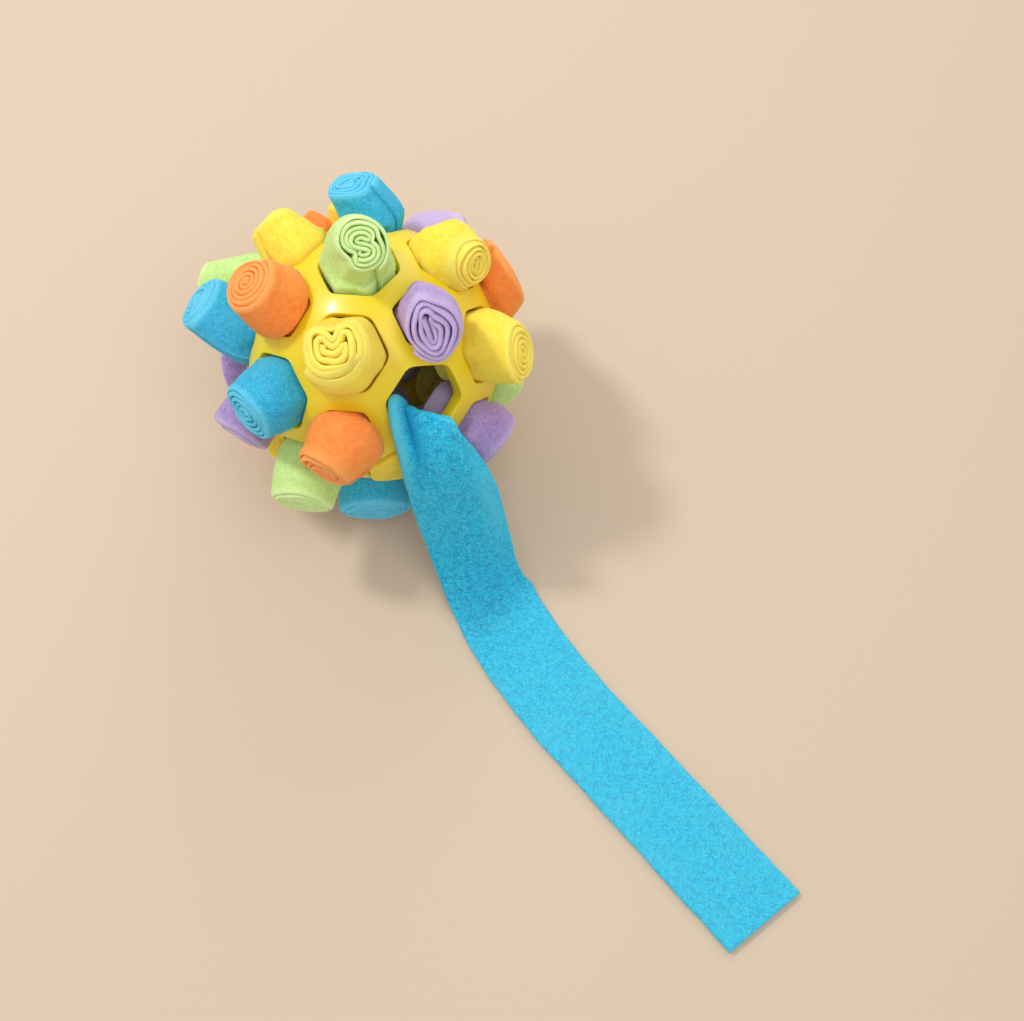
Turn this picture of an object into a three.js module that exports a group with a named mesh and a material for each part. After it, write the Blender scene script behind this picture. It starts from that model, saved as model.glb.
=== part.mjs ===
// A dog's snuffle ball: a soft rubber lattice ball, stuffed with rolled strips
// of fleece, with one strip pulled out of its hole and lying on the floor.
// Millimetres, +Z up. The shapes are laid out about the floor point under the
// ball's centre, and the whole is then moved so that the origin is the middle
// of the flat spot of the roll that it stands on.

import * as THREE from 'three';
import { mergeVertices } from 'three/addons/utils/BufferGeometryUtils.js';

// Driving sizes of the rubber ball

const BALL_RADIUS = 55;
const BALL_HEIGHT = 70;
const WALL = 5.5;
const RIB_WIDTH = 8.6;
const RIB_EDGE_DROP = 1.3;
const HOLE_CORNER_RADIUS = 4;
const COLUMNS_PER_EDGE = 3;

// How the ball has rolled to a stop, as turns about X, Y and Z in degrees

const BALL_TURN = [-138.6, -46.9, -28.2];

// Driving sizes of the fleece

const STANDS_ON = new THREE.Vector3(2, -16, 0);
const STRIP_WIDTH = 40;
const STRIP_THICKNESS = 2.5;
const GAP = 0.3;

// A roll is squeezed by its hole: its radius at the neck, at its inner end and
// where it is free. Inside the wall it has a waist. SPREAD_HEIGHT is the height
// over the rubber at which it has spread. The held shares say how far it keeps
// to the shape of the hole, and LAP_STEP is the step of its last turn.

const SIX_SIDED = { corners: 6, neck: 15.3, innerEnd: 13.2, free: 15 };
const FIVE_SIDED = { corners: 5, neck: 10.8, innerEnd: 10.2, free: 13.8 };
const SPREAD_HEIGHT = 4;
const NECK_HEIGHT = 0.9;
const LAP_STEP = 1.8;
const SIDES_PER_CORNER = 3;
const END_ROUNDING = 1.4;
const LEAN_CURVE = 1.3;
const LEAN_LIMIT = 1.2;
const HALF_HOLE = 0.5;
const HALF_ROLL = 0.48;
const WAIST = 0.9;
const WAIST_DEPTH = 0.5;
const HELD_INSIDE = 0.3;
const HELD_ABOVE = 0.35;
const CORNER_REACH = 1.09;

const YELLOW = 0xf3d23c;
const ORANGE = 0xf9823a;
const BLUE = 0x3fb0d8;
const GREEN = 0xb4dc7c;
const PURPLE = 0x9c84c0;
const RUBBER = 0xe8cc2c;

// The rolls, hole by hole. A hole is named by the corners of an icosahedron:
// one number is a five-sided hole and three are a six-sided one.
// out is how far the roll stands out of the rubber, east and north are how
// far its end leans along and up the ball, girth and end are its radius where
// it has spread and at its end, as shares of its free size, and proud is how
// far its inner turns are pushed out.

const ROLL_COLUMNS = ['name', 'hole', 'fleece', 'out', 'east', 'north', 'girth', 'end', 'proud'];
const ROLL_TABLE = [
  ['front_yellow', [0, 1, 2], YELLOW, 19.5, 0, 2, 0.86, 0.8, 0],
  ['upper_green', [0, 1, 7], GREEN, 23.5, -3.5, 16, 0.82, 0.64, 0],
  ['right_yellow_high', [0, 5, 7], YELLOW, 12, -16.5, 5.5, 0.96, 0.62, 0],
  ['right_yellow_low', [0, 5, 6], YELLOW, 16, -5.5, 0, 0.94, 0.8, 1],
  ['left_blue_low', [1, 2, 8], BLUE, 14, 1, -3.5, 0.94, 0.84, 0],
  ['back_yellow_left', [1, 3, 7], YELLOW, 15, 0, -5, 0.85, 0.66, 0],
  ['left_blue_high', [1, 3, 8], BLUE, 17, -8, 2, 0.94, 0.9, 6],
  ['front_green_low', [2, 4, 8], GREEN, 18, 6, 2, 0.9, 0.72, 0],
  ['front_yellow_flush', [2, 4, 6], YELLOW, 0.8, 0, 0, 1, 1, 0],
  ['left_purple_back', [3, 8, 9], PURPLE, 17, 0.5, 1.5, 0.94, 1, 0],
  ['left_yellow_under', [4, 8, 9], YELLOW, 13.5, 4.5, 3, 0.94, 0.86, 0],
  ['right_green_low', [5, 6, 10], GREEN, 6, 1, -5, 0.94, 0.8, 0],
  ['back_lilac', [5, 7, 11], PURPLE, 10, -9, -5, 0.94, 0.85, 1],
  ['back_orange', [3, 7, 11], ORANGE, 10.5, 11, 2.5, 0.94, 0.66, 0],
  ['back_yellow_top', [3, 7, 11], YELLOW, 15, -1, 11, 0.94, 0.6, 0],
  ['front_purple_under', [4, 6, 10], PURPLE, 11, 0, 2, 0.94, 0.9, 0],
  ['floor_purple', [4, 9, 10], PURPLE, 20, 0, -3, 0.94, 1, 0],
  ['floor_lilac', [9, 10, 11], PURPLE, 20, 0, 0, 0.94, 1, 0],
  ['back_green_under', [5, 10, 11], GREEN, 18, 0, 1, 0.94, 1, 0],
  ['back_orange_under', [3, 9, 11], ORANGE, 17, 1, 2, 0.94, 0.95, 1],
  ['right_purple_top', [0], PURPLE, 18, -10, -3, 0.85, 0.74, 0],
  ['left_orange', [1], ORANGE, 22, -3, -2, 0.94, 0.74, 1],
  ['front_orange', [2], ORANGE, 17.5, -6.5, -6, 1.05, 0.88, 0],
  ['left_green_back', [3], GREEN, 28, 15, -7.5, 0.94, 0.7, 0],
  ['front_blue_low', [4], BLUE, 18, 2, 0, 0.94, 1, 0],
  ['right_orange', [5], ORANGE, 12.5, 2.5, 3, 0.9, 1, 0],
  ['right_purple_low', [6], PURPLE, 13, 1, -7, 0.88, 0.84, 0],
  ['back_blue_top', [7], BLUE, 18, 10.5, 6, 0.86, 0.7, 0],
  ['left_purple_low', [8], PURPLE, 13.5, 1.5, -2.5, 0.9, 0.88, 0],
  ['floor_orange', [9], ORANGE, 21, 0, 0, 0.94, 0.98, 0],
  ['floor_yellow', [10], YELLOW, 25, 0, 0, 0.94, 0.98, 0],
  ['back_yellow_under', [11], YELLOW, 18, 0, 1, 0.94, 1, 0],
];

// Two rolls share one hole at the back. This says which half of it each has.

const HALF_TAKEN = { back_orange: 1, back_yellow_top: -1 };

// How much of its lean a roll's end follows, to the east and to the north.

const END_TILT = [0.8, 0.8];
const OWN_END_TILT = {
  back_blue_top: [0.3, 1.2],
  left_blue_low: [1.2, 1.3],
  front_orange: [0.8, 1.25],
  left_orange: [0.3, 0.3],
};

const ROLLS = ROLL_TABLE.map((values) => {
  const row = Object.fromEntries(ROLL_COLUMNS.map((column, k) => [column, values[k]]));
  row.aside = HALF_TAKEN[row.name];
  row.tilt = OWN_END_TILT[row.name] ?? END_TILT;
  return row;
});

// The pulled-out strip, section by section from its end inside the ball to its
// end on the floor. left and right are its two edges, and rise is how far the
// cloth between them stands off the straight line at a quarter, half and three
// quarters of its width: less than nothing is a trough.

const STRIP_SECTIONS = [
  { left: [13.5, -36, 98], right: [31, -41, 90], rise: [-1, -2, -1] },
  { left: [10.5, -39, 105], right: [36, -46, 98], rise: [-0.5, -1.2, -0.6] },
  { left: [11, -47.5, 101.5], right: [40.5, -51, 94.5], rise: [-1, -1.5, -0.5] },
  { left: [13.5, -54.5, 87.5], right: [46.5, -54.5, 85.5], rise: [1, 2, 2] },
  { left: [15, -60.5, 72], right: [53, -61.5, 72], rise: [1.5, 2, 1.5] },
  { left: [19, -69.5, 45], right: [58, -69.5, 45], rise: [1, 1.5, 1] },
  { left: [24.5, -80, 23.5], right: [62, -77, 17], rise: [0.5, 1, 0.5] },
  { left: [29.5, -90, 9], right: [65.5, -80.5, 5.5], rise: [0, 0.3, 0] },
  { left: [35, -101.5, 1.55], right: [69.5, -84, 1.55], rise: [0, 0, 0] },
  { left: [43.6, -118, 1.55], right: [75.8, -95.8, 1.55], rise: [0, 0, 0] },
  { left: [66.2, -150, 1.55], right: [97.6, -126, 1.55], rise: [0, 0, 0] },
  { left: [108, -197.3, 1.55], right: [139, -172.5, 1.55], rise: [0, 0, 0] },
  { left: [151.4, -246.3, 1.55], right: [182.6, -221.8, 1.55], rise: [0, 0, 0] },
];
const STEPS_PER_SECTION = 2;
const STEPS_ACROSS = 8;

const centre = new THREE.Vector3(0, 0, BALL_HEIGHT);
const up = new THREE.Vector3(0, 0, 1);

// Turns a list of points and a list of triangles into a merged mesh geometry

function geometryOf(points, triangles) {
  const geometry = new THREE.BufferGeometry();
  const numbers = points.flatMap((point) => [point.x, point.y, point.z]);
  geometry.setAttribute('position', new THREE.Float32BufferAttribute(numbers, 3));
  geometry.setIndex(triangles.flat());
  return mergeVertices(geometry, 1e-3);
}

// Joins two rings of equal length by triangles, facing out where the rings
// run counter-clockwise seen from the side that the second one lies on

function joinRings(triangles, first, second, count, closed) {
  const last = closed ? count : count - 1;
  for (let k = 0; k < last; k += 1) {
    const next = (k + 1) % count;
    triangles.push([first + k, first + next, second + next]);
    triangles.push([first + k, second + next, second + k]);
  }
}

// The twelve corners of an icosahedron, turned as the ball lies

function icosahedronCorners() {
  const golden = (1 + Math.sqrt(5)) / 2;
  const radians = BALL_TURN.map((turn) => THREE.MathUtils.degToRad(turn));
  const turned = new THREE.Euler(radians[0], radians[1], radians[2], 'XYZ');
  const corners = [];
  for (const a of [-1, 1]) {
    for (const b of [-golden, golden]) {
      corners.push(new THREE.Vector3(0, a, b), new THREE.Vector3(a, b, 0), new THREE.Vector3(b, 0, a));
    }
  }
  return corners.map((corner) => corner.normalize().applyEuler(turned));
}

const corners = icosahedronCorners();
const EDGE_COSINE = 1 / Math.sqrt(5);

function areNeighbours(i, j) {
  return i !== j && corners[i].dot(corners[j]) > EDGE_COSINE - 0.01;
}

// A corner of the lattice lies a third of the way from corner i to corner j

function latticeCorner(i, j) {
  return corners[i].clone().multiplyScalar(2).add(corners[j]).normalize();
}

// The middle of a hole and its corners, in order around it

function holeOutline(hole) {
  const axis = new THREE.Vector3();
  hole.forEach((i) => axis.add(corners[i]));
  axis.normalize();
  const outline = [];
  for (const i of hole) {
    for (let j = 0; j < corners.length; j += 1) {
      const onHole = hole.length === 1 || hole.includes(j);
      if (onHole && areNeighbours(i, j)) outline.push(latticeCorner(i, j));
    }
  }
  const east = new THREE.Vector3().crossVectors(up, axis).normalize();
  const north = new THREE.Vector3().crossVectors(axis, east);
  const bearing = (point) => Math.atan2(point.dot(north), point.dot(east));
  outline.sort((first, second) => bearing(first) - bearing(second));
  return { axis, east, north, outline, bearing };
}

function allHoles() {
  const holes = corners.map((_, i) => [i]);
  for (let i = 0; i < corners.length; i += 1) {
    for (let j = i + 1; j < corners.length; j += 1) {
      for (let k = j + 1; k < corners.length; k += 1) {
        if (areNeighbours(i, j) && areNeighbours(j, k) && areNeighbours(i, k)) holes.push([i, j, k]);
      }
    }
  }
  return holes;
}

// The half-ribs around one hole: rings from the ribs' outer middle line, over
// their rounded edge, through the wall and back to their inner middle line

function addHalfRibs(points, triangles, hole) {
  const { axis, outline } = holeOutline(hole);
  const halfAngle = (Math.PI * (outline.length - 2)) / outline.length / 2;
  const cornerReach = RIB_WIDTH / 2 / Math.sin(halfAngle);
  const rounding = HOLE_CORNER_RADIUS * (1 / Math.sin(halfAngle) - 1);
  const inner = BALL_RADIUS - WALL;
  const rings = [
    { radius: BALL_RADIUS, share: 0 },
    { radius: BALL_RADIUS - RIB_EDGE_DROP * 0.3, share: 0.68 },
    { radius: BALL_RADIUS - RIB_EDGE_DROP * 1.3, share: 1 },
    { radius: inner + RIB_EDGE_DROP, share: 1 },
    { radius: inner, share: 0 },
  ];
  const start = points.length;
  const columns = outline.length * COLUMNS_PER_EDGE;
  for (const ring of rings) {
    outline.forEach((from, k) => {
      const to = outline[(k + 1) % outline.length];
      for (let step = 0; step < COLUMNS_PER_EDGE; step += 1) {
        const middle = from.clone().lerp(to, step / COLUMNS_PER_EDGE).normalize();
        const inward = axis.clone().addScaledVector(middle, -axis.dot(middle)).normalize();
        const atCorner = step === 0;
        const edge = to.clone().sub(from).normalize();
        const slant = Math.sqrt(1 - inward.dot(edge) ** 2);
        const reach = atCorner ? cornerReach + rounding : RIB_WIDTH / 2 / slant;
        const point = middle.multiplyScalar(BALL_RADIUS).addScaledVector(inward, reach * ring.share);
        points.push(point.normalize().multiplyScalar(ring.radius).add(centre));
      }
    });
  }
  for (let k = 0; k + 1 < rings.length; k += 1) {
    joinRings(triangles, start + k * columns, start + (k + 1) * columns, columns, true);
  }
}

function latticeBall() {
  const points = [];
  const triangles = [];
  allHoles().forEach((hole) => addHalfRibs(points, triangles, hole));
  return geometryOf(points, triangles);
}

// The stations of a roll from its inner end to its outer end: how far each is
// along, its radius, and how far it keeps to the shape of the hole (1) or is a
// free wound roll (0)

function rollStations(row, size) {
  const inside = STRIP_WIDTH - Math.max(row.out, STRIP_WIDTH / 2);
  const part = row.aside ? HALF_ROLL : 1;
  const end = size.free * row.end;
  const stations = [
    { along: -inside, radius: size.innerEnd * part, held: HELD_INSIDE },
    { along: -WALL - WAIST_DEPTH, radius: size.neck * WAIST * part, held: 1 },
    { along: Math.min(NECK_HEIGHT, row.out - 2 * END_ROUNDING), radius: size.neck * part, held: 1 },
  ];
  if (row.out > 2 * SPREAD_HEIGHT) {
    const free = row.aside ? end : size.free * row.girth;
    stations.push({ along: SPREAD_HEIGHT, radius: free, held: HELD_ABOVE });
  }
  stations.push({ along: row.out - END_ROUNDING, radius: end, held: 0 });
  stations.push({ along: row.out, radius: end - END_ROUNDING, held: 0 });
  if (row.proud > 0) {
    stations.push({ along: row.out + row.proud, radius: end - 2 * STRIP_THICKNESS, held: 0 });
  }
  return stations;
}

function ontoFloor(point) {
  return point.setZ(Math.max(point.z, 0));
}

// One ring of a roll: the outline of the hole where the hole holds it, and the
// outline of a wound strip, with the step of its last turn, where it is free.
// The middle of the ring is handed back.

function rollRing(points, row, size, frame, station, lean) {
  const { axis, east, north, bearing, outline } = frame;
  const count = size.corners * SIDES_PER_CORNER;
  const startBearing = bearing(outline[0]);
  const side = (2 * Math.PI) / size.corners;
  const middle = axis.clone().multiplyScalar(BALL_RADIUS + station.along).add(centre);
  middle.addScaledVector(east, lean.east).addScaledVector(north, lean.north);
  const slope = axis.clone().addScaledVector(east, lean.slopeEast).addScaledVector(north, lean.slopeNorth);
  const tilt = new THREE.Quaternion().setFromUnitVectors(axis, slope.normalize());
  for (let k = 0; k < count; k += 1) {
    const turn = startBearing + (2 * Math.PI * k) / count;
    const toFlat = ((k % SIDES_PER_CORNER) / SIDES_PER_CORNER) * side - side / 2;
    const heldShape = Math.min(1 / Math.cos(toFlat), CORNER_REACH);
    const wound = 1 - (LAP_STEP * (k / count)) / size.free;
    const shape = row.aside ? 1 : THREE.MathUtils.lerp(wound, heldShape, station.held);
    const radius = station.radius * shape;
    const spoke = east.clone().multiplyScalar(radius * Math.cos(turn));
    spoke.addScaledVector(north, radius * Math.sin(turn)).applyQuaternion(tilt);
    points.push(ontoFloor(middle.clone().add(spoke)));
  }
  return ontoFloor(middle);
}

// A leaning roll keeps straight through its hole and bends over above it

function leanAt(row, size, along) {
  const share = THREE.MathUtils.clamp(along / row.out, 0, LEAN_LIMIT);
  const bend = share ** LEAN_CURVE;
  const slope = (LEAN_CURVE * Math.min(share, 1) ** (LEAN_CURVE - 1)) / row.out;
  const aside = (row.aside ?? 0) * size.neck * HALF_HOLE;
  return {
    east: aside + row.east * bend,
    north: row.north * bend,
    slopeEast: share > 0 ? row.east * row.tilt[0] * slope : 0,
    slopeNorth: share > 0 ? row.north * row.tilt[1] * slope : 0,
  };
}

function fleeceRoll(row) {
  const size = row.hole.length === 1 ? FIVE_SIDED : SIX_SIDED;
  const frame = holeOutline(row.hole);
  const count = size.corners * SIDES_PER_CORNER;
  const stations = rollStations(row, size);
  const points = [];
  const triangles = [];
  const middles = stations.map((station) => {
    return rollRing(points, row, size, frame, station, leanAt(row, size, station.along));
  });
  for (let k = 0; k + 1 < stations.length; k += 1) {
    joinRings(triangles, k * count, (k + 1) * count, count, true);
  }
  const bottom = points.length;
  points.push(middles[0], middles[stations.length - 1]);
  const top = (stations.length - 1) * count;
  for (let k = 0; k < count; k += 1) {
    const next = (k + 1) % count;
    triangles.push([bottom, next, k]);
    triangles.push([bottom + 1, top + k, top + next]);
  }
  return geometryOf(points, triangles);
}

// A smooth curve through a list of points, at a share of its way

function along(values, share) {
  const path = new THREE.CatmullRomCurve3(values, false, 'catmullrom', 0.5);
  return path.getPoint(share);
}

// The middle surface of the strip, a grid of points along and across

function stripGrid() {
  const lefts = STRIP_SECTIONS.map((row) => new THREE.Vector3(...row.left));
  const rights = STRIP_SECTIONS.map((row) => new THREE.Vector3(...row.right));
  const rises = STRIP_SECTIONS.map((row) => new THREE.Vector3(...row.rise));
  const steps = (STRIP_SECTIONS.length - 1) * STEPS_PER_SECTION;
  const grid = [];
  for (let k = 0; k <= steps; k += 1) {
    const share = k / steps;
    const left = along(lefts, share);
    const right = along(rights, share);
    const rise = along(rises, share);
    const ahead = along(lefts, Math.min(share + 0.01, 1)).sub(along(lefts, Math.max(share - 0.01, 0)));
    const across = right.clone().sub(left);
    const lift = new THREE.Vector3().crossVectors(across, ahead).normalize().negate();
    const section = new THREE.SplineCurve([
      new THREE.Vector2(0, 0),
      new THREE.Vector2(0.25, rise.x),
      new THREE.Vector2(0.5, rise.y),
      new THREE.Vector2(0.75, rise.z),
      new THREE.Vector2(1, 0),
    ]);
    const row = [];
    for (let m = 0; m <= STEPS_ACROSS; m += 1) {
      const at = section.getPoint(m / STEPS_ACROSS);
      row.push(left.clone().addScaledVector(across, at.x).addScaledVector(lift, at.y));
    }
    grid.push(row);
  }
  return grid;
}

// Gives the middle surface its thickness, with a closed rim

function pulledStrip() {
  const grid = stripGrid();
  const rows = grid.length;
  const columns = STEPS_ACROSS + 1;
  const points = [];
  for (const side of [1, -1]) {
    grid.forEach((row, k) => {
      row.forEach((point, m) => {
        const before = grid[Math.max(k - 1, 0)][m];
        const after = grid[Math.min(k + 1, rows - 1)][m];
        const ahead = after.clone().sub(before);
        const across = row[Math.min(m + 1, columns - 1)].clone().sub(row[Math.max(m - 1, 0)]);
        const lift = new THREE.Vector3().crossVectors(ahead, across).normalize();
        const moved = point.clone().addScaledVector(lift, (side * STRIP_THICKNESS) / 2);
        moved.z = Math.max(moved.z, GAP);
        points.push(moved);
      });
    });
  }
  const at = (side, k, m) => side * rows * columns + k * columns + m;
  const triangles = [];
  const quad = (a, b, c, d) => triangles.push([a, b, c], [a, c, d]);
  for (let k = 0; k + 1 < rows; k += 1) {
    for (let m = 0; m + 1 < columns; m += 1) {
      quad(at(0, k, m), at(0, k + 1, m), at(0, k + 1, m + 1), at(0, k, m + 1));
      quad(at(1, k, m), at(1, k, m + 1), at(1, k + 1, m + 1), at(1, k + 1, m));
    }
    quad(at(0, k, 0), at(1, k, 0), at(1, k + 1, 0), at(0, k + 1, 0));
    const end = columns - 1;
    quad(at(0, k, end), at(0, k + 1, end), at(1, k + 1, end), at(1, k, end));
  }
  for (let m = 0; m + 1 < columns; m += 1) {
    const end = rows - 1;
    quad(at(0, 0, m), at(0, 0, m + 1), at(1, 0, m + 1), at(1, 0, m));
    quad(at(0, end, m), at(1, end, m), at(1, end, m + 1), at(0, end, m + 1));
  }
  return geometryOf(points, triangles);
}

function addPiece(group, name, geometry, color, roughness) {
  const material = new THREE.MeshStandardMaterial({ color, roughness, metalness: 0 });
  const mesh = new THREE.Mesh(geometry, material);
  mesh.name = name;
  group.add(mesh);
}

const RUBBER_ROUGHNESS = 0.35;
const FLEECE_ROUGHNESS = 0.95;

const snuffleBall = new THREE.Group();
snuffleBall.name = 'snuffle_ball';
snuffleBall.position.copy(STANDS_ON).negate();
addPiece(snuffleBall, 'lattice_ball', latticeBall(), RUBBER, RUBBER_ROUGHNESS);
for (const row of ROLLS) {
  addPiece(snuffleBall, `roll_${row.name}`, fleeceRoll(row), row.fleece, FLEECE_ROUGHNESS);
}
addPiece(snuffleBall, 'pulled_strip', pulledStrip(), BLUE, FLEECE_ROUGHNESS);

export default snuffleBall;
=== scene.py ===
# %% [markdown]
# # A dog's snuffle ball
#
# A soft rubber ball made of ribs, with a strip of fleece rolled up and pushed
# into every hole. One strip has been pulled out and lies on the floor.
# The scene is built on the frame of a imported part, so every piece has its
# place and its real size already, in metres with +Z up. This lesson dresses
# that frame: it makes the smooth ribs, winds every roll, lays the strip and
# gives rubber and fleece their finish.

import math

import bpy
import numpy as np
from mathutils import Euler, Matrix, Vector


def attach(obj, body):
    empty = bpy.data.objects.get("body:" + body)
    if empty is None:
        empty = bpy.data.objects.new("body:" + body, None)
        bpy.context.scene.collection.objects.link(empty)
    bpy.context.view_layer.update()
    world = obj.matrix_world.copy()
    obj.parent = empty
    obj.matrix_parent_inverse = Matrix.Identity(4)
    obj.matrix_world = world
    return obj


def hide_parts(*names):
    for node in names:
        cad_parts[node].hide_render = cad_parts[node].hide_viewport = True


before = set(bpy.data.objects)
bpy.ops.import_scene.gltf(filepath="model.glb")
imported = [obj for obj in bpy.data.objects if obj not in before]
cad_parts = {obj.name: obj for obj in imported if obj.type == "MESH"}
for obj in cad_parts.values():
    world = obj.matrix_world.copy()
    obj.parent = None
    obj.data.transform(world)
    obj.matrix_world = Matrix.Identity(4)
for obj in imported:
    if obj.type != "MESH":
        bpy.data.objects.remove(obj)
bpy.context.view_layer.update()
print("nodes in the frame:", len(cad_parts))

# %% [markdown]
# ## The sizes of the real ball
#
# The ball is 110 mm across its ribs and stands 15 mm off the floor on the
# lowest rolls. The frame's origin is the middle of the flat spot under the
# roll that carries it, so the ball's centre is a little to one side.

# %% Sizes in metres
MM = 0.001
BALL_RADIUS = 55 * MM
BALL_CENTRE = np.array([-2.0, 16.0, 70.0]) * MM
WALL = 5.5 * MM
RIB_WIDTH = 8.6 * MM
RIB_ROUNDING = 1.3 * MM
BALL_TURN = (-138.6, -46.9, -28.2)
STRIP_WIDTH = 40 * MM
FLEECE_THICKNESS = 2.4 * MM
print("ball", round(2000 * BALL_RADIUS), "mm across, centre at", BALL_CENTRE)

# %% [markdown]
# ## Where the holes are
#
# The ribs follow the seams of a football: twelve five-sided holes stand on
# the corners of an icosahedron, and twenty six-sided ones on its faces. Each
# hole gets a small frame of its own: the way out of the ball, and a right and
# an up for whoever looks at it.

# %% Corners and holes
GOLDEN = (1 + math.sqrt(5)) / 2
TURN = np.array(Euler([math.radians(a) for a in BALL_TURN], "ZYX").to_matrix())


def unit(vector):
    return vector / np.linalg.norm(vector)


CORNERS = []
for a in (-1, 1):
    for b in (-GOLDEN, GOLDEN):
        for corner in ((0, a, b), (a, b, 0), (b, 0, a)):
            CORNERS.append(TURN @ unit(np.array(corner, float)))


def neighbours(i, j):
    return i != j and CORNERS[i] @ CORNERS[j] > 0.4


def rib_corner(i, j):
    return unit(2 * CORNERS[i] + CORNERS[j])


def hole_frame(hole):
    """The way out of a hole, its east and north, and its corners in order."""
    out = unit(sum(CORNERS[i] for i in hole))
    east = unit(np.cross([0, 0, 1], out))
    north = np.cross(out, east)
    outline = [
        rib_corner(i, j)
        for i in hole
        for j in range(12)
        if neighbours(i, j) and (len(hole) == 1 or j in hole)
    ]
    outline.sort(key=lambda p: math.atan2(p @ north, p @ east))
    return out, east, north, outline


HOLES = [(i,) for i in range(12)] + [
    (i, j, k)
    for i in range(12)
    for j in range(i + 1, 12)
    for k in range(j + 1, 12)
    if neighbours(i, j) and neighbours(j, k) and neighbours(i, k)
]
print(len(HOLES), "holes")

# %% [markdown]
# ## Small helpers
#
# A finished piece must be a plain mesh whose object sits at the origin. One
# helper makes a mesh from points and faces, and one turns an object with
# Geometry Nodes into a plain mesh and drops the modifier.


# %% Making meshes
def new_mesh(name, points, faces=(), edges=()):
    mesh = bpy.data.meshes.new(name)
    mesh.from_pydata([tuple(p) for p in points], list(edges), list(faces))
    mesh.update()
    made = bpy.data.objects.new(name, mesh)
    bpy.context.scene.collection.objects.link(made)
    return made


def made_plain(obj):
    """The object with its modifiers worked out, as a plain mesh."""
    depsgraph = bpy.context.evaluated_depsgraph_get()
    mesh = bpy.data.meshes.new_from_object(obj.evaluated_get(depsgraph))
    obj.modifiers.clear()
    obj.data = mesh
    return obj


def smooth(obj):
    obj.data.polygons.foreach_set("use_smooth", [True] * len(obj.data.polygons))
    return obj


def place(obj, *nodes, slot):
    """Attaches a piece to the root and hides the solids of the frame that it stands for; slot is not used."""
    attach(obj, "root")
    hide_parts(*nodes)


print("helpers for meshes ready")

# %% [markdown]
# ## Setting up a node tree by script
#
# A Geometry Nodes tree is a recipe with named inputs. These helpers add a
# node, wire it, and hand an input's value to the modifier by the socket's
# identifier, which stays the same when its name is changed.


# %% Node helpers
class Recipe:
    def __init__(self, name, inputs):
        self.tree = bpy.data.node_groups.new(name, "GeometryNodeTree")
        face = self.tree.interface
        face.new_socket("Geometry", in_out="INPUT", socket_type="NodeSocketGeometry")
        for label, (kind, default) in inputs.items():
            socket = face.new_socket(label, in_out="INPUT", socket_type="NodeSocket" + kind)
            if default is not None:
                socket.default_value = default
        face.new_socket("Geometry", in_out="OUTPUT", socket_type="NodeSocketGeometry")
        self.start = self.tree.nodes.new("NodeGroupInput")
        self.end = self.tree.nodes.new("NodeGroupOutput")

    def add(self, kind, values=(), **settings):
        node = self.tree.nodes.new(kind)
        for key, value in settings.items():
            setattr(node, key, value)
        for key, value in dict(values).items():
            socket = node.inputs[key]
            if isinstance(value, bpy.types.NodeSocket):
                self.tree.links.new(value, socket)
            else:
                socket.default_value = value
        return node

    def finish(self, geometry):
        self.tree.links.new(geometry, self.end.inputs["Geometry"])

    def put_on(self, obj, **values):
        modifier = obj.modifiers.new(self.tree.name, "NODES")
        modifier.node_group = self.tree
        for item in self.tree.interface.items_tree:
            if item.in_out == "INPUT" and item.name in values:
                modifier[item.identifier] = values[item.name]
        return obj


print("helpers ready")

# %% [markdown]
# ## Setting up shader nodes
#
# An effect that several materials share is kept in a group of shader nodes,
# built once. These helpers make a group with named inputs and outputs and add
# the few kinds of node that the finishes need: noise, a sum, a soft step
# between two limits, and a mix of two colours.


# %% Helpers for shader groups
def new_shader_group(name, inputs, outputs):
    group = bpy.data.node_groups.new(name, "ShaderNodeTree")
    for label, (kind, default) in inputs.items():
        socket = group.interface.new_socket(label, in_out="INPUT", socket_type="NodeSocket" + kind)
        if default is not None:
            socket.default_value = default
    for label, kind in outputs.items():
        group.interface.new_socket(label, in_out="OUTPUT", socket_type="NodeSocket" + kind)
    return group, group.nodes.new("NodeGroupInput").outputs, group.nodes.new("NodeGroupOutput").inputs


def feed(group, socket, value):
    """Wires a value to a socket, or writes it there if it is a plain number."""
    if isinstance(value, bpy.types.NodeSocket):
        group.links.new(value, socket)
    else:
        socket.default_value = value


def noise(group, vector, scale, detail=3.0, rough=0.6):
    node = group.nodes.new("ShaderNodeTexNoise")
    for key, value in (("Vector", vector), ("Scale", scale), ("Detail", detail), ("Roughness", rough)):
        feed(group, node.inputs[key], value)
    return node.outputs["Fac"]


def maths(group, operation, *values):
    node = group.nodes.new("ShaderNodeMath")
    node.operation = operation
    for socket, value in zip(node.inputs, values):
        feed(group, socket, value)
    return node.outputs[0]


def remap(group, value, low, high, to_low=0.0, to_high=1.0):
    node = group.nodes.new("ShaderNodeMapRange")
    node.interpolation_type = "SMOOTHSTEP"
    feed(group, node.inputs["Value"], value)
    for key, limit in (("From Min", low), ("From Max", high), ("To Min", to_low), ("To Max", to_high)):
        feed(group, node.inputs[key], limit)
    return node.outputs["Result"]


def mixed(group, share, first, second):
    node = group.nodes.new("ShaderNodeMix")
    node.data_type = "RGBA"
    for index, value in ((0, share), (6, first), (7, second)):
        feed(group, node.inputs[index], value)
    return node.outputs[2]


print("helpers for shader groups ready")
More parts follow.
